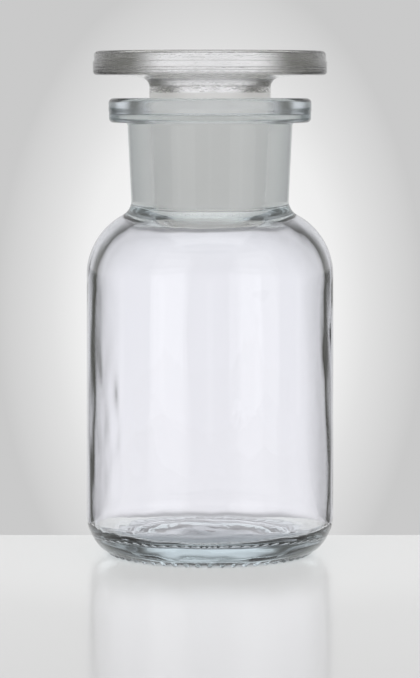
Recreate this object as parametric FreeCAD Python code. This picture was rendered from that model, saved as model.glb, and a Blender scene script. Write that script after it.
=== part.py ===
import FreeCAD, Part

# A 250 ml wide-mouth reagent bottle in moulded soda-lime glass, closed by a pressed glass stopper.
#
# The real thing is two pieces of glass and nothing else: no gasket, no ring, no fastener.
#   bottle   blown in a two-part mould over a base plate: knurled bearing ring and pushed-up base,
#            straight wall, round shoulder, thick tapered neck and a flat-topped lip
#   stopper  pressed in one piece: a broad disc to grip, a short waist, and a hollow tapered plug
# They meet in a ground joint, 34.5 mm across at its large end and 1 in 10 in taper, so the stopper
# lifts straight out along +Z.
#
# Frame: millimetres, +Z up along the common axis, origin on the rest plane under the axis.
# Both pieces are revolved from an outline: a list of sharp corners (radius, height, rounding).

import math
import os

OUT = "parts"
TINY = 1e-6

# --- ground joint -------------------------------------------------------------------------------
JOINT_D = 34.5            # large end of the ground cone
JOINT_TAPER = 0.1         # change of diameter along the axis
JOINT_CLEARANCE = 0.04    # radial, between the two ground cones
PLUG_L = 35.0             # large end of the cone to the stopper's foot
PLUG_STAND = 1.6          # the cone's large end stands this far above the lip
SOCKET_RUNOUT = 0.4       # radial relief in the bore below the ground length
SOCKET_L = 27.0           # ground length in the neck

# --- bottle, outside ----------------------------------------------------------------------------
BODY_D = 70.0
BOTTLE_H = 129.0          # rest plane to the top of the lip
NECK_WALL = 6.6           # outside of the neck to the ground cone, which it runs parallel to
NECK_ROOT_H = 97.2        # where the neck's line meets the shoulder's
NECK_ROOT_ROUND = 4.8
SHOULDER_SLOPE = 28.0     # degrees above the horizontal, between neck and shoulder curves
LIP_H = 6.9
LIP_OVERHANG = 5.35       # beyond the neck just under it
LIP_TOP_ROUND = 1.4
LIP_FOOT_ROUND = 1.3
LIP_SEAM_DROP = 3.7       # top of the lip to the seam between neck ring and body mould
LIP_SEAM_STEP = 0.12

# --- bottle, heel and underside -----------------------------------------------------------------
HEEL_H = 6.4              # where the body's line meets the heel's slope
HEEL_REACH = 4.6          # how far in the heel's slope meets the bearing ring
HEEL_TOP_ROUND = 12.5
HEEL_FOOT_ROUND = 6.5
HEEL_SEAM_H = 7.2         # seam between body mould and base plate
HEEL_SEAM_STEP = 0.25     # the base plate is this much smaller in radius
RING_W = 6.2              # bearing ring, from the heel's foot corner to its inner edge
RING_ROUND = 1.4
PUSH_UP_EDGE_H = 1.6      # rise of the underside straight after the bearing ring
PUSH_UP_EDGE_W = 2.4
PUSH_UP_EDGE_ROUND = 3.0
PUSH_UP_H = 3.2           # rise of the underside at the edge of its centre mark
MARK_D = 10.8             # round mark left by the base plate's centre plug
MARK_DEPTH = 0.35

KNURL_COUNT = 54          # short radial bars on the bearing ring
KNURL_H = 0.45            # how far they stand out of it
KNURL_R = 1.1             # section radius
KNURL_LAND = 0.05         # depth of the flat worn on each bar
KNURL_L = 4.8
KNURL_SET_IN = 1.1        # bar's outer end, in from the heel's foot corner

# --- bottle, inside -----------------------------------------------------------------------------
THROAT_GAP = 1.35         # unground mouth, radially wider than the plug at the lip
THROAT_EDGE = 0.7         # bevel from the lip's flat top into the throat
THROAT_DEPTH = 3.7
THROAT_BEVEL = 0.9
ROOT_DROP = 1.0           # inner neck root, below the outer one
ROOT_ROUND = 1.2
SHOULDER_WALL = 2.3       # the shoulder is blown thin,
SHOULDER_DROP = 1.5       # inner shoulder corner, below the outer one
THICK_WALL = 2.9          # the wall under it is thickest,
THICK_WALL_H = 70.0
MID_WALL = 2.1
MID_WALL_H = 42.0
LOW_WALL = 1.7            # and it thins from there down to the heel
LOW_WALL_H = 16.0
FLOOR_EDGE_H = 6.0
FLOOR_ROUND = 3.8
FLOOR_CENTRE_H = 7.5
FLOOR_FLAT_D = 16.0

# --- stopper ------------------------------------------------------------------------------------
DISC_D = 66.6
DISC_T = 6.8              # at the rim
DISC_TOP_ROUND = 1.2
DISC_FOOT_ROUND = 1.3
DISC_SEAM_DROP = 2.9      # top of the disc to its mould seam
DISC_SEAM_STEP = 0.33     # the upper mould is this much smaller in radius
FINGER_GAP = 5.8          # lip to the underside of the disc, at the waist
UNDERSIDE_RISE = 0.8      # the underside rises this much from waist to rim
WAIST_ROUND = 2.9
RIM_LINE_DROPS = (4.7, 5.5)   # fine press lines round the rim, below the top of the disc
RIM_LINE_DEPTH = 0.12
PLUG_WALL = 3.2           # at the plug's open foot
PLUG_BEVEL = 0.7          # ground off both edges of the foot
HOLLOW_DEPTH = 32.0
HOLLOW_DRAFT = 0.8        # the hollow is narrower at its top by this much in radius
HOLLOW_ROUND = 5.0


def point(radius, height):
    """A point of an outline, in the XZ plane."""
    return FreeCAD.Vector(radius, 0, height)


def rounded_edges(corners):
    """Lines and tangent arcs through (radius, height, rounding) corners, from the first to the last.

    Two roundings that together overrun the run between them share it.
    """
    at = [point(c[0], c[1]) for c in corners]
    runs = [(b - a).Length for a, b in zip(at, at[1:])]
    turn = [0.0] * len(at)
    reach = [0.0] * len(at)
    for i in range(1, len(at) - 1):
        turn[i] = (at[i] - at[i - 1]).getAngle(at[i + 1] - at[i])
        reach[i] = corners[i][2] * math.tan(turn[i] / 2)
    share = [min(1.0, run / max(reach[i] + reach[i + 1], TINY)) for i, run in enumerate(runs)]
    edges = []
    here = at[0]
    for i in range(1, len(at)):
        back = (at[i - 1] - at[i]).normalize()
        cut = reach[i] * min(share[i - 1], share[min(i, len(share) - 1)])
        start = at[i] + back * cut
        if (start - here).Length > TINY:
            edges.append(Part.LineSegment(here, start).toShape())
        here = start
        if cut > TINY:
            ahead = (at[i + 1] - at[i]).normalize()
            end = at[i] + ahead * cut
            radius = cut / math.tan(turn[i] / 2)
            inward = (back + ahead).normalize()
            middle = at[i] + inward * (radius / math.cos(turn[i] / 2) - radius)
            edges.append(Part.Arc(start, middle, end).toShape())
            here = end
    return edges


def turned(corners):
    """The solid that an outline makes round the Z axis. The outline starts and ends on the axis."""
    edges = rounded_edges(corners)
    edges.append(Part.LineSegment(point(0, corners[-1][1]), point(0, corners[0][1])).toShape())
    face = Part.Face(Part.Wire(edges))
    return face.revolve(FreeCAD.Vector(0, 0, 0), FreeCAD.Vector(0, 0, 1), 360)


def cone_radius(height):
    """Radius of the stopper's ground cone at a height above the rest plane."""
    return JOINT_D / 2 - (BOTTLE_H + PLUG_STAND - height) * JOINT_TAPER / 2


def socket_radius(height):
    """Radius of the ground bore in the neck."""
    return cone_radius(height) + JOINT_CLEARANCE


def neck_radius(height):
    return socket_radius(height) + NECK_WALL


def shoulder_corner():
    """Radius and height at which the body's line meets the shoulder's slope."""
    rise = (BODY_D / 2 - neck_radius(NECK_ROOT_H)) * math.tan(math.radians(SHOULDER_SLOPE))
    return BODY_D / 2, NECK_ROOT_H - rise


def shoulder_round():
    """The shoulder's curve takes all of the slope that the neck's curve leaves."""
    radius, height = shoulder_corner()
    slope = math.radians(SHOULDER_SLOPE)
    taper = math.atan(JOINT_TAPER / 2)
    run = math.hypot(radius - neck_radius(NECK_ROOT_H), NECK_ROOT_H - height)
    neck_reach = NECK_ROOT_ROUND * math.tan((math.pi / 2 - slope - taper) / 2)
    return (run - neck_reach) / math.tan((math.pi / 2 - slope) / 2)


def bottle_outside(inset):
    """Outline of the glass with the inside still full, from the top of the lip down.

    The body and heel are drawn in by the inset.
    """
    lip_foot = BOTTLE_H - LIP_H
    lip_r = neck_radius(lip_foot) + LIP_OVERHANG
    lip_seam = BOTTLE_H - LIP_SEAM_DROP
    foot_r = BODY_D / 2 - HEEL_REACH
    ring_in = foot_r - RING_W
    mark_r = MARK_D / 2
    return [
        (0, BOTTLE_H, 0),
        (lip_r, BOTTLE_H, LIP_TOP_ROUND),
        (lip_r, lip_seam, 0),
        (lip_r - LIP_SEAM_STEP, lip_seam, 0),
        (lip_r - LIP_SEAM_STEP, lip_foot, LIP_FOOT_ROUND),
        (neck_radius(lip_foot), lip_foot, 0),
        (neck_radius(NECK_ROOT_H), NECK_ROOT_H, NECK_ROOT_ROUND),
        (*shoulder_corner(), shoulder_round()),
        (BODY_D / 2 - inset, KNURL_H + HEEL_H, HEEL_TOP_ROUND),
        (foot_r - inset, KNURL_H, HEEL_FOOT_ROUND),
        (ring_in, KNURL_H, RING_ROUND),
        (ring_in - PUSH_UP_EDGE_W, KNURL_H + PUSH_UP_EDGE_H, PUSH_UP_EDGE_ROUND),
        (mark_r, KNURL_H + PUSH_UP_H, 0),
        (mark_r, KNURL_H + PUSH_UP_H + MARK_DEPTH, 0),
        (0, KNURL_H + PUSH_UP_H + MARK_DEPTH, 0),
    ]


def bottle_inside():
    """Outline of the space in the bottle, from above the lip down to the floor."""
    above = BOTTLE_H + LIP_H
    throat_r = cone_radius(BOTTLE_H) + THROAT_GAP
    throat_end = BOTTLE_H - THROAT_DEPTH
    socket_top = throat_end - THROAT_BEVEL
    socket_end = socket_top - SOCKET_L
    bore_r = socket_radius(socket_end) + SOCKET_RUNOUT
    body_r = BODY_D / 2
    return [
        (0, above, 0),
        (throat_r + THROAT_EDGE, above, 0),
        (throat_r + THROAT_EDGE, BOTTLE_H, 0),
        (throat_r, BOTTLE_H - THROAT_EDGE, 0),
        (throat_r, throat_end, 0),
        (socket_radius(socket_top), socket_top, 0),
        (socket_radius(socket_end), socket_end, 0),
        (bore_r, socket_end - SOCKET_RUNOUT, 0),
        (bore_r, NECK_ROOT_H - ROOT_DROP, ROOT_ROUND),
        (body_r - SHOULDER_WALL, shoulder_corner()[1] - SHOULDER_DROP, shoulder_round() - SHOULDER_WALL),
        (body_r - THICK_WALL, THICK_WALL_H, 0),
        (body_r - MID_WALL, MID_WALL_H, 0),
        (body_r - LOW_WALL, LOW_WALL_H, 0),
        (body_r - LOW_WALL, FLOOR_EDGE_H, FLOOR_ROUND),
        (FLOOR_FLAT_D / 2, FLOOR_CENTRE_H, 0),
        (0, FLOOR_CENTRE_H, 0),
    ]


def blank():
    """The outside: the body mould's shape above the heel's seam, the base plate's below it."""
    corner = FreeCAD.Vector(-BODY_D, -BODY_D, 0)
    plate_space = Part.makeBox(2 * BODY_D, 2 * BODY_D, HEEL_SEAM_H, corner)
    body = turned(bottle_outside(0)).cut(plate_space)
    return body.fuse(turned(bottle_outside(HEEL_SEAM_STEP)).common(plate_space))


def knurl_bars():
    """Radial bars of round section under the bearing ring, all cut flat at the rest plane."""
    outer = BODY_D / 2 - HEEL_REACH - KNURL_SET_IN
    start = FreeCAD.Vector(outer - KNURL_L, 0, KNURL_R - KNURL_LAND)
    bar = Part.makeCylinder(KNURL_R, KNURL_L, start, FreeCAD.Vector(1, 0, 0))
    corner = FreeCAD.Vector(-BODY_D, -BODY_D, -KNURL_R)
    bar = bar.cut(Part.makeBox(2 * BODY_D, 2 * BODY_D, KNURL_R, corner))
    bars = []
    for i in range(KNURL_COUNT):
        copy = bar.copy()
        copy.rotate(FreeCAD.Vector(0, 0, 0), FreeCAD.Vector(0, 0, 1), 360 * (i + 0.5) / KNURL_COUNT)
        bars.append(copy)
    return bars


def bottle():
    """The bottle: outside less inside, with the knurling added."""
    shell = blank().cut(turned(bottle_inside()))
    return shell.fuse(knurl_bars()).removeSplitter()


def stopper():
    """The stopper: disc, waist and hollow plug, in one outline from the top down to the hollow."""
    rim_r = DISC_D / 2
    waist_h = BOTTLE_H + FINGER_GAP
    rim_h = waist_h + UNDERSIDE_RISE
    top = rim_h + DISC_T
    seam = top - DISC_SEAM_DROP
    cone_top = BOTTLE_H + PLUG_STAND
    foot = cone_top - PLUG_L
    hollow_r = cone_radius(foot) - PLUG_WALL
    rim_lines = []
    for drop in RIM_LINE_DROPS:
        line = top - drop
        rim_lines += [
            (rim_r, line + RIM_LINE_DEPTH, 0),
            (rim_r - RIM_LINE_DEPTH, line, 0),
            (rim_r, line - RIM_LINE_DEPTH, 0),
        ]
    return turned([
        (0, top, 0),
        (rim_r - DISC_SEAM_STEP, top, DISC_TOP_ROUND),
        (rim_r - DISC_SEAM_STEP, seam, 0),
        (rim_r, seam, 0),
        *rim_lines,
        (rim_r, rim_h, DISC_FOOT_ROUND),
        (cone_radius(cone_top), waist_h, WAIST_ROUND),
        (cone_radius(cone_top), cone_top, 0),
        (cone_radius(foot), foot + PLUG_BEVEL, 0),
        (cone_radius(foot) - PLUG_BEVEL, foot, 0),
        (hollow_r + PLUG_BEVEL, foot, 0),
        (hollow_r, foot + PLUG_BEVEL, 0),
        (hollow_r - HOLLOW_DRAFT, foot + HOLLOW_DEPTH, HOLLOW_ROUND),
        (0, foot + HOLLOW_DEPTH, 0),
    ])


def main():
    os.makedirs(OUT, exist_ok=True)
    for name, shape in (("bottle", bottle()), ("stopper", stopper())):
        shape.exportStep(os.path.join(OUT, name + ".step"))
        box = shape.BoundBox
        print(name, "solids", len(shape.Solids), "valid", shape.isValid(), "faces", len(shape.Faces),
              "volume_ml", round(shape.Volume / 1000, 2),
              "box", [round(v, 2) for v in (box.XMin, box.YMin, box.ZMin, box.XMax, box.YMax, box.ZMax)])


main()
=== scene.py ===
"""The looks of a stoppered glass reagent bottle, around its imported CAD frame.

Both pieces of glass are turned again from the CAD outlines with far more facets, because glass shows
every one, and get what moulding leaves behind: uneven inner walls, pressed skin, knurled foot. The
outlines are in millimetres. The stage is a pale shelf, a camera, three lamps and the world.
"""

import math

import bpy
import numpy as np
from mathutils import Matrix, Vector, noise


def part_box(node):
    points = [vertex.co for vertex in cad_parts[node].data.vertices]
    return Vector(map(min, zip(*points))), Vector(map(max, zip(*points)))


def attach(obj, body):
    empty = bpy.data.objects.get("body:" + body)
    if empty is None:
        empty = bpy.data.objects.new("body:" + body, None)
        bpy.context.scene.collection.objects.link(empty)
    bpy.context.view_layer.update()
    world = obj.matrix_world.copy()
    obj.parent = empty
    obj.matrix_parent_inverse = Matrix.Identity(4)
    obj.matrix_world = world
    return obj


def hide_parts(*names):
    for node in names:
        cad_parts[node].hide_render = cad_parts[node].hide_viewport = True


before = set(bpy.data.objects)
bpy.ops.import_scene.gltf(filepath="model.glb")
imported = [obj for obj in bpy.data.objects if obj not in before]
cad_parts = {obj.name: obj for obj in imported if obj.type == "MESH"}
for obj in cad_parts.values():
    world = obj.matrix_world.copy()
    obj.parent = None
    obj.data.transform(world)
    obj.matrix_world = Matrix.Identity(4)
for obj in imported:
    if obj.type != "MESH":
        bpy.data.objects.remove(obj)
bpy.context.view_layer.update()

MM = 0.001

# --- sizes from the frame, in millimetres -------------------------------------------------------
BOTTLE_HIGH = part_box("bottle")[1] / MM
STOPPER_LOW, STOPPER_HIGH = (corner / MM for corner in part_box("stopper"))
BODY_R = BOTTLE_HIGH.x
BOTTLE_H = BOTTLE_HIGH.z
DISC_R = STOPPER_HIGH.x
DISC_TOP = STOPPER_HIGH.z
PLUG_FOOT = STOPPER_LOW.z

# --- sizes of the two outlines, as in the CAD unless it says otherwise --------------------------
CONE_R = 17.25            # ground cone's large end
CONE_SLOPE = 0.05         # radius lost per unit of depth
CONE_TOP = BOTTLE_H + 1.6
CLEARANCE = 0.04          # between the two ground cones
SEAM_HALF = 0.05          # half the height of a mould seam's step

LIP_FOOT = BOTTLE_H - 6.9
LIP_OVERHANG = 5.35
LIP_SEAM = BOTTLE_H - 3.7
LIP_SEAM_STEP = 0.12
LIP_FOOT_ROUND = 1.3
LIP_TOP_ROUND = 1.4
THROAT_GAP = 1.35
THROAT_EDGE = 0.7         # bevel from the lip's flat top into the throat
THROAT_FOOT = BOTTLE_H - 3.7
SOCKET_TOP = BOTTLE_H - 4.6
SOCKET_L = 27.0
SOCKET_RUNOUT = 0.4       # relief in the bore below the ground length
NECK_WALL = 6.6
NECK_ROOT_H = 97.2
NECK_ROOT_ROUND = 4.8
BORE_END_DROP = 1.0       # from the neck's root outside
BORE_END_ROUND = 2.4      # twice the CAD's
SHOULDER_SLOPE = math.radians(28)
SHOULDER_WALL = 2.3
SHOULDER_DROP = 1.5       # how much lower the shoulder's corner is inside
HEEL_H = 6.4
HEEL_REACH = 4.6
HEEL_TOP_ROUND = 12.5
HEEL_SEAM_STEP = 0.25     # drawn in at the foot only, without the CAD's edge
HEEL_FOOT_ROUND = 6.5
RING_W = 6.2              # bearing ring
RING_ROUND = 1.4
PUSH_UP_EDGE_W = 2.4
PUSH_UP_EDGE_H = 1.6
PUSH_UP_EDGE_ROUND = 3.0
PUSH_UP_H = 3.2           # rise of the underside at the edge of its centre mark
MARK_R = 5.4              # round mark left by the base plate's centre plug
MARK_DEPTH = 0.35
WALLS = (                 # the wall thickens upward: thickness, height, rounding there
    (2.9, 70.0, 160.0),
    (2.1, 42.0, 220.0),
    (1.7, 16.0, 220.0),
)
CORNER_WALL = 1.7
CORNER_H = 6.0            # where the lines of inner wall and floor meet
CORNER_ROUND = 3.8
FLOOR_EDGE_IN = 6.5       # from the outside of the body to the floor's lowest ring
FLOOR_EDGE_H = 6.28
FLOOR_MIDDLE_R = 8.0
FLOOR_MIDDLE_H = 7.5
FLOOR_ROUND = 40.0

KNURL_COUNT = 54
KNURL_H = 0.45
KNURL_R = 1.1
KNURL_IN = 24.5           # from here out to KNURL_OUT
KNURL_OUT = 29.3

WAIST_H = BOTTLE_H + 5.8
WAIST_ROUND = 2.9
RIM_FOOT = WAIST_H + 0.8
RIM_SEAM = DISC_TOP - 2.9
RIM_SEAM_STEP = 0.33
RIM_LINES = (4.7, 5.5)    # fine grooves round the rim, below the disc's top
RIM_LINE_DEPTH = 0.12
PLUG_WALL = 3.2
PLUG_EDGE = 0.7           # bevel at the plug's foot
HOLLOW_H = 32.0
HOLLOW_DRAFT = 0.8        # radius lost up the hollow
HOLLOW_ROUND = 5.0

# --- unevenness of the blown inside: depth, then size, seed and stretch of its lumps ------------
UNEVEN = (
    (0.14, 16.0, 3.7, 1.6),
    (0.030, 4.5, 9.1, 2.6),
)
DRAG_AT = math.radians(223)       # where the gather dragged on the mould and left the wall streaky
DRAG_H, DRAG_L, DRAG_W = 38.0, 18.0, 9.0
DRAG = (0.36, 4.0, 33.0, 3.0)
CHILL = (0.035, 2.2, 41.0)        # ripples low on the wall, which froze first
CHILL_HEIGHTS = (15.0, 9.0)
CHILL_RADII = (24.0, 30.0)
SWELL = (0.30, 9.0, 21.3)         # up and down, on the floor
AXIS_RADII = (2.0, 12.0)          # all of it fades out toward the axis, where the mesh is one point
SWELL_AXIS_RADII = (0.0, 4.0)

# --- fineness of the meshes ---------------------------------------------------------------------
SEGMENTS = KNURL_COUNT * 10
ARC_STEP = math.radians(7)
RUN_STEP = 1.6            # longest straight run between two rings, in millimetres
TINY = 1e-9
SHORTEST = 1e-6


def cone_r(height):
    """Radius of the ground cone at a height."""
    return CONE_R - (CONE_TOP - height) * CONE_SLOPE


def neck_r(height):
    """Radius of the neck's outside at a height."""
    return cone_r(height) + CLEARANCE + NECK_WALL


# --- turned meshes ------------------------------------------------------------------------------
def trace(corners):
    """Points (radius, height) along rounded corners, and the finish of each run between two points.

    A corner is (radius, height, rounding, finish). Its finish is that of its arc and of the run that
    follows.
    """
    at = [np.array(corner[:2], float) for corner in corners]
    runs = [np.linalg.norm(b - a) for a, b in zip(at, at[1:])]
    turn = [0.0] * len(at)
    reach = [0.0] * len(at)
    for i in range(1, len(at) - 1):
        before = (at[i] - at[i - 1]) / runs[i - 1]
        after = (at[i + 1] - at[i]) / runs[i]
        turn[i] = math.acos(max(-1.0, min(1.0, float(before @ after))))
        reach[i] = corners[i][2] * math.tan(turn[i] / 2)
    share = [min(1.0, run / max(reach[i] + reach[i + 1], TINY)) for i, run in enumerate(runs)]
    points = [at[0]]
    finishes = []

    def draw_to(target, finish):
        start = points[-1]
        length = np.linalg.norm(target - start)
        if length < SHORTEST:
            return
        count = max(1, math.ceil(length / RUN_STEP))
        for k in range(1, count + 1):
            points.append(start + (target - start) * k / count)
            finishes.append(finish)

    for i in range(1, len(at)):
        back = (at[i - 1] - at[i]) / runs[i - 1]
        cut = reach[i] * min(share[i - 1], share[min(i, len(share) - 1)])
        draw_to(at[i] + back * cut, corners[i - 1][3])
        if cut > SHORTEST:
            ahead = (at[i + 1] - at[i]) / runs[i]
            radius = cut / math.tan(turn[i] / 2)
            inward = (back + ahead) / np.linalg.norm(back + ahead)
            centre = at[i] + inward * radius / math.cos(turn[i] / 2)
            start = at[i] + back * cut - centre
            sense = math.copysign(1.0, float(start[1] * back[0] - start[0] * back[1]))
            count = max(2, math.ceil(turn[i] / ARC_STEP), math.ceil(turn[i] * radius / RUN_STEP))
            for k in range(1, count + 1):
                angle = sense * turn[i] * k / count
                cos, sin = math.cos(angle), math.sin(angle)
                spoke = np.array([start[0] * cos - start[1] * sin, start[0] * sin + start[1] * cos])
                points.append(centre + spoke)
                finishes.append(corners[i][3])
    return np.array(points), finishes


def turned(name, corners, material, shape=None):
    """A closed mesh turned from an outline.

    shape, if there is one, gets its radii, heights, angles and finishes, and gives back the first two.
    Each finish is marked on its faces, for the one material to read, because the depth of a glass's
    colour is only followed through a mesh whose faces all have the same material.
    """
    points, finishes = trace(corners)
    angles = np.arange(SEGMENTS) * 2 * math.pi / SEGMENTS
    radii = np.repeat(points[:, :1], SEGMENTS, axis=1)
    heights = np.repeat(points[:, 1:], SEGMENTS, axis=1)
    if shape:
        ring_finish = [finishes[max(0, j - 1)] for j in range(len(points))]
        radii, heights = shape(radii, heights, angles, ring_finish)
    verts = []
    first = []
    for j in range(len(points)):
        first.append(len(verts))
        if points[j, 0] < TINY:
            verts.append((0.0, 0.0, float(heights[j].mean()) * MM))
        else:
            x = radii[j] * np.cos(angles) * MM
            y = radii[j] * np.sin(angles) * MM
            verts.extend(zip(x.tolist(), y.tolist(), (heights[j] * MM).tolist()))
    faces = []
    marks = []
    area = float(np.sum(points[:-1, 0] * points[1:, 1] - points[1:, 0] * points[:-1, 1]))
    facing = 1 if area < 0 else -1       # an outline drawn from the bottom up has its faces turned round
    for j, finish in enumerate(finishes):
        a, b = first[j], first[j + 1]
        for i in range(SEGMENTS):
            k = (i + 1) % SEGMENTS
            if points[j, 0] < TINY:
                face = (a, b + i, b + k)
            elif points[j + 1, 0] < TINY:
                face = (a + k, a + i, b)
            else:
                face = (a + k, a + i, b + i, b + k)
            faces.append(face[::facing])
            marks.append(finish)
    mesh = bpy.data.meshes.new(name)
    mesh.from_pydata(verts, [], faces)
    mesh.materials.append(material)
    mesh.polygons.foreach_set("use_smooth", [True] * len(faces))
    for finish in sorted(set(finishes)):
        values = [float(mark == finish) for mark in marks]
        mesh.attributes.new(finish, "FLOAT", "FACE").data.foreach_set("value", values)
    mesh.update()
    piece = bpy.data.objects.new(name, mesh)
    bpy.context.scene.collection.objects.link(piece)
    return piece


def smoothstep(low, high, value):
    """0 at low and 1 at high, with an easy start and end. low may be the greater."""
    t = np.clip((value - low) / (high - low), 0, 1)
    return t * t * (3 - 2 * t)


def lumps(radii, heights, angles, depth, size, seed, stretch=1.0):
    """Smooth noise at every point, up to depth either way. A stretch above 1 draws it out upward."""
    out = np.zeros_like(radii)
    cos, sin = np.cos(angles), np.sin(angles)
    for j in range(radii.shape[0]):
        z = heights[j, 0] / (size * stretch)
        for i in range(radii.shape[1]):
            x = radii[j, i] * cos[i] / size + seed
            y = radii[j, i] * sin[i] / size
            out[j, i] = noise.noise(Vector((x, y, z)))
    return depth * out


# --- the bottle ---------------------------------------------------------------------------------
def bottle_outline():
    """Outside from the middle of the base up to the lip, then the inside down to the floor."""
    lip_r = neck_r(LIP_FOOT) + LIP_OVERHANG
    slope_run = BODY_R - neck_r(NECK_ROOT_H)
    shoulder_h = NECK_ROOT_H - slope_run * math.tan(SHOULDER_SLOPE)
    upright = math.pi / 2 - SHOULDER_SLOPE
    neck_reach = NECK_ROOT_ROUND * math.tan((upright - math.atan(CONE_SLOPE)) / 2)
    shoulder_round = (slope_run / math.cos(SHOULDER_SLOPE) - neck_reach) / math.tan(upright / 2)
    foot_r = BODY_R - HEEL_REACH
    throat_r = cone_r(BOTTLE_H) + THROAT_GAP
    socket_end = SOCKET_TOP - SOCKET_L
    bore_r = cone_r(socket_end) + CLEARANCE + SOCKET_RUNOUT
    return [
        (0, KNURL_H + PUSH_UP_H + MARK_DEPTH, 0, "clear"),
        (MARK_R, KNURL_H + PUSH_UP_H + MARK_DEPTH, 0.2, "clear"),
        (MARK_R, KNURL_H + PUSH_UP_H, 0.2, "clear"),
        (foot_r - RING_W - PUSH_UP_EDGE_W, KNURL_H + PUSH_UP_EDGE_H, PUSH_UP_EDGE_ROUND, "clear"),
        (foot_r - RING_W, KNURL_H, RING_ROUND, "foot"),
        (foot_r - HEEL_SEAM_STEP, KNURL_H, HEEL_FOOT_ROUND, "foot"),
        (BODY_R, KNURL_H + HEEL_H, HEEL_TOP_ROUND, "clear"),
        (BODY_R, shoulder_h, shoulder_round, "clear"),
        (neck_r(NECK_ROOT_H), NECK_ROOT_H, NECK_ROOT_ROUND, "clear"),
        (neck_r(LIP_FOOT), LIP_FOOT, 0.8, "lip"),
        (lip_r - LIP_SEAM_STEP, LIP_FOOT, LIP_FOOT_ROUND, "lip"),
        (lip_r - LIP_SEAM_STEP, LIP_SEAM - SEAM_HALF, 0, "lip"),
        (lip_r, LIP_SEAM + SEAM_HALF, 0, "lip"),
        (lip_r, BOTTLE_H, LIP_TOP_ROUND, "lip"),
        (throat_r + THROAT_EDGE, BOTTLE_H, 0.5, "lip"),
        (throat_r, BOTTLE_H - THROAT_EDGE, 0.6, "lip"),
        (throat_r, THROAT_FOOT, 0.7, "lip"),
        (cone_r(SOCKET_TOP) + CLEARANCE, SOCKET_TOP, 0, "ground"),
        (cone_r(socket_end) + CLEARANCE, socket_end, 0, "clear"),
        (bore_r, socket_end - SOCKET_RUNOUT, 0.2, "clear"),
        (bore_r, NECK_ROOT_H - BORE_END_DROP, BORE_END_ROUND, "clear"),
        (BODY_R - SHOULDER_WALL, shoulder_h - SHOULDER_DROP, shoulder_round - SHOULDER_WALL, "inside"),
        *[(BODY_R - wall, height, rounding, "inside") for wall, height, rounding in WALLS],
        (BODY_R - CORNER_WALL, CORNER_H, CORNER_ROUND, "corner"),
        (BODY_R - FLOOR_EDGE_IN, FLOOR_EDGE_H, 0, "floor"),
        (FLOOR_MIDDLE_R, FLOOR_MIDDLE_H, FLOOR_ROUND, "floor"),
        (0, FLOOR_MIDDLE_H, 0, "floor"),
    ]


def blown(radii, heights, angles, finishes):
    """What blowing leaves: a gently uneven inside, and the knurling pressed into the foot."""
    finish = np.array(finishes)
    rows = np.where(np.isin(finish, ("inside", "corner", "floor")))[0]
    r, z = radii[rows], heights[rows]
    uneven = sum(lumps(r, z, angles, *look) for look in UNEVEN)
    radii[rows] += uneven * smoothstep(*AXIS_RADII, r)
    aside = np.angle(np.exp(1j * (angles - DRAG_AT)))[None, :]
    drag = np.exp(-(aside * r / DRAG_W) ** 2 - ((z - DRAG_H) / DRAG_L) ** 2)
    radii[rows] += drag * lumps(r, z, angles, *DRAG)
    chill = smoothstep(*CHILL_HEIGHTS, z) * smoothstep(*CHILL_RADII, r)
    radii[rows] += chill * lumps(r, z, angles, *CHILL)
    floor = np.isin(finish[rows], ("corner", "floor"))[:, None]
    heights[rows] += floor * lumps(r, z, angles, *SWELL) * smoothstep(*SWELL_AXIS_RADII, r)

    rows = np.where(finish == "foot")[0]
    r, z = radii[rows], heights[rows]
    pitch = 2 * math.pi / KNURL_COUNT
    across = r * np.sin((angles[None, :] % pitch) - pitch / 2)
    beyond = np.maximum(np.maximum(KNURL_IN + KNURL_R - r, r - KNURL_OUT + KNURL_R), 0)
    reach = np.sqrt(across ** 2 + beyond ** 2)
    bar = KNURL_R - np.sqrt(np.maximum(KNURL_R ** 2 - reach ** 2, 0))
    heights[rows] = np.where(reach < KNURL_R, np.minimum(z, np.maximum(bar, 0)), z)
    return radii, heights


# --- the stopper --------------------------------------------------------------------------------
def stopper_outline():
    """From the middle of the top out over the rim, down waist and plug, and up into the hollow."""
    foot_r = cone_r(PLUG_FOOT)
    hollow_r = foot_r - PLUG_WALL
    rim_lines = []
    for drop in RIM_LINES:
        rim_lines += [
            (DISC_R, DISC_TOP - drop + RIM_LINE_DEPTH, SEAM_HALF, "pressed"),
            (DISC_R - RIM_LINE_DEPTH, DISC_TOP - drop, SEAM_HALF, "pressed"),
            (DISC_R, DISC_TOP - drop - RIM_LINE_DEPTH, SEAM_HALF, "pressed"),
        ]
    return [
        (0, DISC_TOP, 0, "pressed"),
        (DISC_R - RIM_SEAM_STEP, DISC_TOP, 1.2, "pressed"),
        (DISC_R - RIM_SEAM_STEP, RIM_SEAM + SEAM_HALF, SEAM_HALF, "pressed"),
        (DISC_R, RIM_SEAM - SEAM_HALF, SEAM_HALF, "pressed"),
        *rim_lines,
        (DISC_R, RIM_FOOT, 1.3, "waist"),
        (CONE_R, WAIST_H, WAIST_ROUND, "waist"),
        (CONE_R, CONE_TOP, 0, "ground"),
        (cone_r(PLUG_FOOT + PLUG_EDGE), PLUG_FOOT + PLUG_EDGE, 0, "ground"),
        (foot_r - PLUG_EDGE, PLUG_FOOT, 0.3, "ground"),
        (hollow_r + PLUG_EDGE, PLUG_FOOT, 0.3, "clear"),
        (hollow_r, PLUG_FOOT + PLUG_EDGE, 0.5, "clear"),
        (hollow_r - HOLLOW_DRAFT, PLUG_FOOT + HOLLOW_H, HOLLOW_ROUND, "clear"),
        (0, PLUG_FOOT + HOLLOW_H, 0, "clear"),
    ]


# --- nodes --------------------------------------------------------------------------------------
def empty_tree(owner):
    """The node tree of a material or a world, with nothing in it."""
    owner.use_nodes = True
    owner.node_tree.nodes.clear()
    return owner.node_tree


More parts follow.
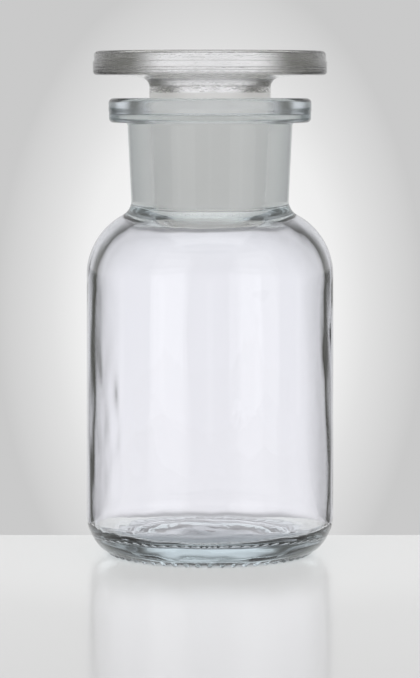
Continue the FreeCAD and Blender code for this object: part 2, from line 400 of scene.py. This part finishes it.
def add(tree, kind, **values):
    """A node, with its inputs set by name and its properties by attribute."""
    node = tree.nodes.new(kind)
    for key, value in values.items():
        if key in node.inputs:
            node.inputs[key].default_value = value
        else:
            setattr(node, key, value)
    return node


def feed(tree, sockets, values):
    """Give each socket its value: another node's output, a colour or a number."""
    for socket, value in zip(sockets, values):
        if isinstance(value, bpy.types.NodeSocket):
            tree.links.new(value, socket)
        else:
            socket.default_value = (*value, 1) if isinstance(value, tuple) else value


def maths(tree, operation, *values):
    node = add(tree, "ShaderNodeMath", operation=operation)
    feed(tree, node.inputs, values)
    return node.outputs[0]


def blend(tree, factor, first, second):
    """The first colour at a factor of 0 and the second at 1."""
    node = add(tree, "ShaderNodeMix", data_type="RGBA")
    feed(tree, (node.inputs["Factor"], node.inputs[6], node.inputs[7]), (factor, first, second))
    return node.outputs[2]


def ramp(tree, value, low, high, start, end, kind="SMOOTHSTEP"):
    """The start where value is low and the end where it is high."""
    node = add(tree, "ShaderNodeMapRange", interpolation_type=kind)
    names = ("Value", "From Min", "From Max", "To Min", "To Max")
    feed(tree, [node.inputs[name] for name in names], (value, low, high, start, end))
    return node.outputs["Result"]


# --- glass --------------------------------------------------------------------------------------
GLASS_IOR = 1.52
CLOUD = 12 * MM              # size of the patches in which the tint drifts
GROUND_WHITE = 0.45          # share of ground glass that scatters like chalk
PASSES = 0.98                # share of light that a surface lets through to what stands beside the glass
GROUND_STOPS = 0.85          # and how much of it ground glass takes away
FINISH_TINTS = (
    ("ground", (0.80, 0.79, 0.775)),
    ("floor", (0.76, 0.80, 0.84)),
)
# what drifts into what, the colour that depth brings, and how fast it does
BOTTLE_LOOK = (((0.995, 0.992, 1.0), (0.985, 0.985, 0.995)), (0.60, 0.80, 0.83), 12.0)
STOPPER_LOOK = (((0.992, 0.988, 0.985), (0.982, 0.978, 0.972)), (0.84, 0.86, 0.80), 6.0)
BOTTLE_SKINS = (
    ("clear", 6 * MM, 1.0, 0.0, 0.01, 0.004 * MM),
    ("inside", 8 * MM, 1.0, 0.0, 0.01, 0.008 * MM),
    ("floor", 5 * MM, 1.0, 0.0, 0.02, 0.008 * MM),
    ("foot", 1.5 * MM, 1.0, 0.0, 0.08, 0.02 * MM),
    ("lip", 4 * MM, 1.0, 0.10, 0.28, 0.01 * MM),
    ("ground", 0.5 * MM, 1.0, 0.45, 0.60, 0.01 * MM),
)
STOPPER_SKINS = (
    ("pressed", 0.45 * MM, 1.0, 0.0, 0.05, 0.060 * MM),
    ("pressed", 0.7 * MM, 12.0, 0.0, 0.0, 0.060 * MM),
    ("waist", 0.9 * MM, 2.0, 0.0, 0.10, 0.16 * MM),
    ("waist", 0.45 * MM, 1.0, 0.0, 0.0, 0.06 * MM),
    ("ground", 0.5 * MM, 1.0, 0.45, 0.60, 0.01 * MM),
    ("clear", 2 * MM, 1.0, 0.0, 0.03, 0.02 * MM),
)


def glass(name, tints, depth_tint, density, skins):
    """Glass whose tint, roughness and relief drift with noise, and which is partly white where ground.

    skins lists (finish, grain in metres, stretch round the axis, lowest roughness, highest roughness,
    relief in metres), and what they say of the same finish adds up. Shadow and diffuse rays go straight
    through, so that the glass doesn't darken the shelf.
    """
    material = bpy.data.materials.new(name)
    tree = empty_tree(material)

    def mask(finish):
        return add(tree, "ShaderNodeAttribute", attribute_name=finish).outputs["Fac"]

    place = add(tree, "ShaderNodeTexCoord").outputs["Object"]
    cloud = add(tree, "ShaderNodeTexNoise", Scale=1 / CLOUD, Detail=2.0)
    feed(tree, [cloud.inputs["Vector"]], [place])
    colour = blend(tree, cloud.outputs["Fac"], *tints)
    for finish, tint in FINISH_TINTS:
        colour = blend(tree, mask(finish), colour, tint)

    roughness, height = 0.0, 0.0
    for finish, grain, stretch, low, high, relief in skins:
        drawn = add(tree, "ShaderNodeMapping", Scale=(1 / stretch, 1 / stretch, 1.0))
        skin = add(tree, "ShaderNodeTexNoise", Scale=1 / grain, Detail=3.0, Roughness=0.55)
        feed(tree, (drawn.inputs["Vector"], skin.inputs["Vector"]), (place, drawn.outputs["Vector"]))
        here, fleck = mask(finish), skin.outputs["Fac"]
        rough = ramp(tree, fleck, 0.0, 1.0, low, high, "LINEAR")
        roughness = maths(tree, "ADD", roughness, maths(tree, "MULTIPLY", here, rough))
        raised = maths(tree, "MULTIPLY", maths(tree, "MULTIPLY", here, fleck), relief)
        height = maths(tree, "ADD", height, raised)
    bump = add(tree, "ShaderNodeBump", Strength=1.0, Distance=1.0)
    feed(tree, [bump.inputs["Height"]], [height])

    ground = mask("ground")
    solid = maths(tree, "SUBTRACT", 1.0, maths(tree, "MULTIPLY", ground, GROUND_WHITE))
    shader = add(tree, "ShaderNodeBsdfPrincipled", IOR=GLASS_IOR)
    names = ("Base Color", "Roughness", "Normal", "Transmission Weight")
    feed(tree, [shader.inputs[key] for key in names], (colour, roughness, bump.outputs["Normal"], solid))

    path = add(tree, "ShaderNodeLightPath")
    beside = maths(tree, "MAXIMUM", path.outputs["Is Shadow Ray"], path.outputs["Is Diffuse Ray"])
    passes = maths(tree, "SUBTRACT", PASSES, maths(tree, "MULTIPLY", ground, GROUND_STOPS))
    clear = add(tree, "ShaderNodeBsdfTransparent")
    surface = add(tree, "ShaderNodeMixShader")
    feed(tree, surface.inputs,
         (maths(tree, "MULTIPLY", beside, passes), shader.outputs["BSDF"], clear.outputs["BSDF"]))
    volume = add(tree, "ShaderNodeVolumeAbsorption", Density=density, Color=(*depth_tint, 1))
    out = add(tree, "ShaderNodeOutputMaterial")
    feed(tree, (out.inputs["Surface"], out.inputs["Volume"]),
         (surface.outputs["Shader"], volume.outputs["Volume"]))
    return material


def make_bottle():
    material = glass("bottle_glass", *BOTTLE_LOOK, BOTTLE_SKINS)
    piece = turned("bottle_glass", bottle_outline(), material, blown)
    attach(piece, "bottle")
    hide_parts("bottle")


def make_stopper():
    material = glass("stopper_glass", *STOPPER_LOOK, STOPPER_SKINS)
    piece = turned("stopper_glass", stopper_outline(), material)
    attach(piece, "stopper")
    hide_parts("stopper")


# --- the stage ----------------------------------------------------------------------------------
CAMERA_DISTANCE = 0.850
CAMERA_HEIGHT = 0.1316
SENSOR = 36.0
FOCAL_PER_HEIGHT = 4.41      # focal length as a share of the picture's height
CAMERA_SHIFT = -0.3687

SHELF_BACK = 0.0323          # back edge of the shelf, behind the axis
SHELF_W = 0.8
SHELF_DEPTH = 0.36
SHELF_T = 0.012
SHELF_IOR = 1.45
# painted light and shade: the shelf is coloured darker at the front and lighter toward its back edge,
# for the way the backdrop's light falls on it
SHELF_FRONT_SHADED_COLOUR = (0.74, 0.74, 0.74)
SHELF_BACK_LIT_COLOUR = (0.94, 0.94, 0.94)
SHELF_FADE = -0.20           # where, in front of the axis, the painted shade gives the shelf its darker front colour
SHELF_MOTTLE = 0.12          # how far noise moves that fade
SHELF_MOTTLE_SCALE = 9.0
SHELF_ROUGHNESS = 0.12
GLOW_ROUGHNESS = 0.22
GLOW_RADII = (0.030, 0.115)  # a painted ring of the light that the glass throws round its foot fades out between these
GLOW_COLOUR = (0.96, 0.96, 0.96)
SHADE_RADII = (0.023, 0.031)           # and the painted shade under the glass between these
SHADE_COLOUR = (0.37, 0.39, 0.42)


def make_camera():
    data = bpy.data.cameras.new("camera")
    data.sensor_fit = "VERTICAL"
    data.sensor_height = SENSOR
    data.lens = SENSOR * FOCAL_PER_HEIGHT
    data.shift_y = CAMERA_SHIFT
    camera = bpy.data.objects.new("camera", data)
    bpy.context.scene.collection.objects.link(camera)
    camera.location = (0.0, -CAMERA_DISTANCE, CAMERA_HEIGHT)
    camera.rotation_euler = (math.pi / 2, 0, 0)
    bpy.context.scene.camera = camera


def shelf_material():
    """Pale and glossy, with painted light toward the back and round the bottle's foot, painted shade
    under it.
    """
    material = bpy.data.materials.new("shelf")
    tree = empty_tree(material)
    place = add(tree, "ShaderNodeTexCoord").outputs["Object"]
    cloud = add(tree, "ShaderNodeTexNoise", Scale=SHELF_MOTTLE_SCALE, Detail=2.0)
    split = add(tree, "ShaderNodeSeparateXYZ")
    reach = add(tree, "ShaderNodeVectorMath", operation="LENGTH")
    feed(tree, (cloud.inputs["Vector"], split.inputs[0], reach.inputs[0]), (place,) * 3)
    # painted light and shade: darker at the front, lighter toward the back edge
    depth = ramp(tree, split.outputs["Y"], SHELF_FADE, SHELF_BACK, 0.0, 1.0, "LINEAR")
    fade = maths(tree, "MULTIPLY_ADD", cloud.outputs["Fac"], SHELF_MOTTLE, depth)
    # painted light: a pale ring round the bottle's foot
    glow = ramp(tree, reach.outputs["Value"], *GLOW_RADII, 1.0, 0.0)
    # painted shade: a dark disc under the glass
    shade = ramp(tree, reach.outputs["Value"], *SHADE_RADII, 1.0, 0.0)
    colour = blend(tree, fade, SHELF_FRONT_SHADED_COLOUR, SHELF_BACK_LIT_COLOUR)
    colour = blend(tree, glow, colour, GLOW_COLOUR)
    colour = blend(tree, shade, colour, SHADE_COLOUR)
    roughness = maths(tree, "MULTIPLY_ADD", glow, GLOW_ROUGHNESS - SHELF_ROUGHNESS, SHELF_ROUGHNESS)
    shader = add(tree, "ShaderNodeBsdfPrincipled", IOR=SHELF_IOR)
    out = add(tree, "ShaderNodeOutputMaterial")
    feed(tree, (shader.inputs["Base Color"], shader.inputs["Roughness"], out.inputs["Surface"]),
         (colour, roughness, shader.outputs["BSDF"]))
    return material


def make_shelf():
    """A slab whose back edge is close behind the bottle."""
    mesh = bpy.data.meshes.new("shelf")
    half = SHELF_W / 2
    front = SHELF_BACK - SHELF_DEPTH
    around = ((-half, front), (half, front), (half, SHELF_BACK), (-half, SHELF_BACK))
    corners = [(x, y, z) for z in (-SHELF_T, 0) for x, y in around]
    sides = [(3, 2, 1, 0), (4, 5, 6, 7)]
    sides += [(i, (i + 1) % 4, (i + 1) % 4 + 4, i + 4) for i in range(4)]
    mesh.from_pydata(corners, [], sides)
    mesh.materials.append(shelf_material())
    shelf = bpy.data.objects.new("shelf", mesh)
    bpy.context.scene.collection.objects.link(shelf)


# --- the world ----------------------------------------------------------------------------------
def radians(*angles):
    return [math.radians(angle) for angle in angles]


HALO_EVERY = math.radians(45)        # a bright panel behind the bottle, again at each eighth of a turn
HALO_HALF_W, HALO_HALF_H = radians(4.1, 6.5)
HALO_ELEVATION = math.radians(-4.2)
HALO_LEVELS = ((0.0, 0.94), (0.40, 0.92), (0.60, 0.86), (0.74, 0.75), (0.93, 0.64), (1.0, 0.59))
THROUGH_COLOUR = (0.865, 0.860, 0.900)         # what clear glass bends into view
CARD_INNER_EDGE = radians(15, 32)              # a dark card on either side fades in
CARD_OUTER_EDGE = radians(48, 85)              # and out again
CARD_COLOUR = (0.105, 0.105, 0.095)
MIRRORED_EDGE = radians(-2, 1)                 # mirrored only below this, so not in the shelf's sheen
CEILING_EDGE = radians(5, 28)
CEILING_LEVEL = 0.30
BELOW_EDGE = radians(-32, -14)
BELOW_LEVEL = 0.55
AMBIENT = 0.92                                 # lights shelf and ground glass from front and back
AMBIENT_ASIDE = 0.42                           # and from the sides


def make_world():
    """Pale all round, and glowing behind the bottle.

    Camera and glossy rays see the halo. Rays bent by glass see a bright wall between two dark cards,
    under a dim ceiling. What lights the rest is dimmer from the sides.
    """
    world = bpy.data.worlds.new("studio")
    bpy.context.scene.world = world
    tree = empty_tree(world)
    direction = add(tree, "ShaderNodeTexCoord")
    split = add(tree, "ShaderNodeSeparateXYZ")
    feed(tree, [split.inputs[0]], [direction.outputs["Generated"]])
    azimuth = maths(tree, "ARCTAN2", split.outputs["X"], split.outputs["Y"])
    elevation = maths(tree, "ARCSINE", split.outputs["Z"])

    turned_on = maths(tree, "ADD", azimuth, 2 * math.pi + HALO_EVERY / 2)
    off_panel = maths(tree, "SUBTRACT", maths(tree, "MODULO", turned_on, HALO_EVERY), HALO_EVERY / 2)
    across = maths(tree, "DIVIDE", maths(tree, "ABSOLUTE", off_panel), HALO_HALF_W)
    up = maths(tree, "DIVIDE", maths(tree, "SUBTRACT", elevation, HALO_ELEVATION), HALO_HALF_H)
    squares = [maths(tree, "MULTIPLY", length, length) for length in (across, up)]
    halo = add(tree, "ShaderNodeValToRGB")
    feed(tree, [halo.inputs["Fac"]], [maths(tree, "SQRT", maths(tree, "ADD", *squares))])
    stops = halo.color_ramp.elements
    while len(stops) < len(HALO_LEVELS):
        stops.new(0.5)
    for stop, (position, level) in zip(stops, HALO_LEVELS):
        stop.position = position
        stop.color = (level, level, level, 1)

    path = add(tree, "ShaderNodeLightPath")
    off_back = maths(tree, "ABSOLUTE", azimuth)
    card = maths(tree, "MULTIPLY", ramp(tree, off_back, *CARD_INNER_EDGE, 0.0, 1.0),
                 ramp(tree, off_back, *CARD_OUTER_EDGE, 1.0, 0.0))
    bounded = maths(tree, "MULTIPLY", ramp(tree, elevation, *CEILING_EDGE, 1.0, CEILING_LEVEL),
                    ramp(tree, elevation, *BELOW_EDGE, BELOW_LEVEL, 1.0))
    bent = add(tree, "ShaderNodeVectorMath", operation="SCALE")
    feed(tree, (bent.inputs[0], bent.inputs["Scale"]),
         (blend(tree, card, THROUGH_COLOUR, CARD_COLOUR), bounded))

    downward = ramp(tree, elevation, *MIRRORED_EDGE, 1.0, 0.0)
    shown = maths(tree, "MULTIPLY", path.outputs["Is Glossy Ray"], downward)
    mirrored = maths(tree, "MULTIPLY", card, shown)
    glow = maths(tree, "MULTIPLY", halo.outputs["Color"], maths(tree, "SUBTRACT", 1.0, mirrored))
    aslant = maths(tree, "MULTIPLY", split.outputs["X"], split.outputs["X"])
    dimmed = maths(tree, "MULTIPLY", aslant, AMBIENT - AMBIENT_ASIDE)
    ambient = maths(tree, "SUBTRACT", AMBIENT, dimmed)
    straight = maths(tree, "MAXIMUM", path.outputs["Is Camera Ray"], path.outputs["Is Glossy Ray"])
    around = blend(tree, straight, ambient, glow)
    seen = blend(tree, path.outputs["Is Transmission Ray"], around, bent.outputs[0])
    background = add(tree, "ShaderNodeBackground")
    out = add(tree, "ShaderNodeOutputWorld")
    feed(tree, (background.inputs["Color"], out.inputs[0]), (seen, background.outputs[0]))


# --- the lamps ----------------------------------------------------------------------------------
SOFTBOXES = (                # name, azimuth (0 is behind the camera, positive to the right), width
    ("softbox_left", math.radians(-38), 0.50),
    ("softbox_right", math.radians(47), 0.56),
)
SOFTBOX_H = 1.2
SOFTBOX_DISTANCE = 0.8
SOFTBOX_MIDDLE = 0.20        # height of its middle
SOFTBOX_RADIANCE = 0.55
OVERHEAD_SIZE = 1.2
OVERHEAD_POWER = 3.0
OVERHEAD_AT = (0, -0.1, 1.4)


def lamp(name, energy, location, **sizes):
    """A soft lamp that faces down and that the camera doesn't see."""
    data = bpy.data.lights.new(name, "AREA")
    for key, value in sizes.items():
        setattr(data, key, value)
    data.energy = energy
    lit = bpy.data.objects.new(name, data)
    bpy.context.scene.collection.objects.link(lit)
    lit.location = location
    lit.visible_camera = False
    return lit


def make_lights():
    """A softbox on either side, facing the axis, and a panel overhead."""
    for name, azimuth, width in SOFTBOXES:
        energy = SOFTBOX_RADIANCE * math.pi * width * SOFTBOX_H
        location = (SOFTBOX_DISTANCE * math.sin(azimuth), -SOFTBOX_DISTANCE * math.cos(azimuth),
                    SOFTBOX_MIDDLE)
        softbox = lamp(name, energy, location, shape="RECTANGLE", size=width, size_y=SOFTBOX_H)
        inward = Vector((0, 0, SOFTBOX_MIDDLE)) - softbox.location
        softbox.rotation_euler = inward.to_track_quat("-Z", "Y").to_euler()
    lamp("overhead", OVERHEAD_POWER, OVERHEAD_AT, size=OVERHEAD_SIZE)


bpy.context.scene.view_settings.view_transform = "Standard"
make_camera()
make_world()
make_lights()
make_shelf()
make_bottle()
make_stopper()
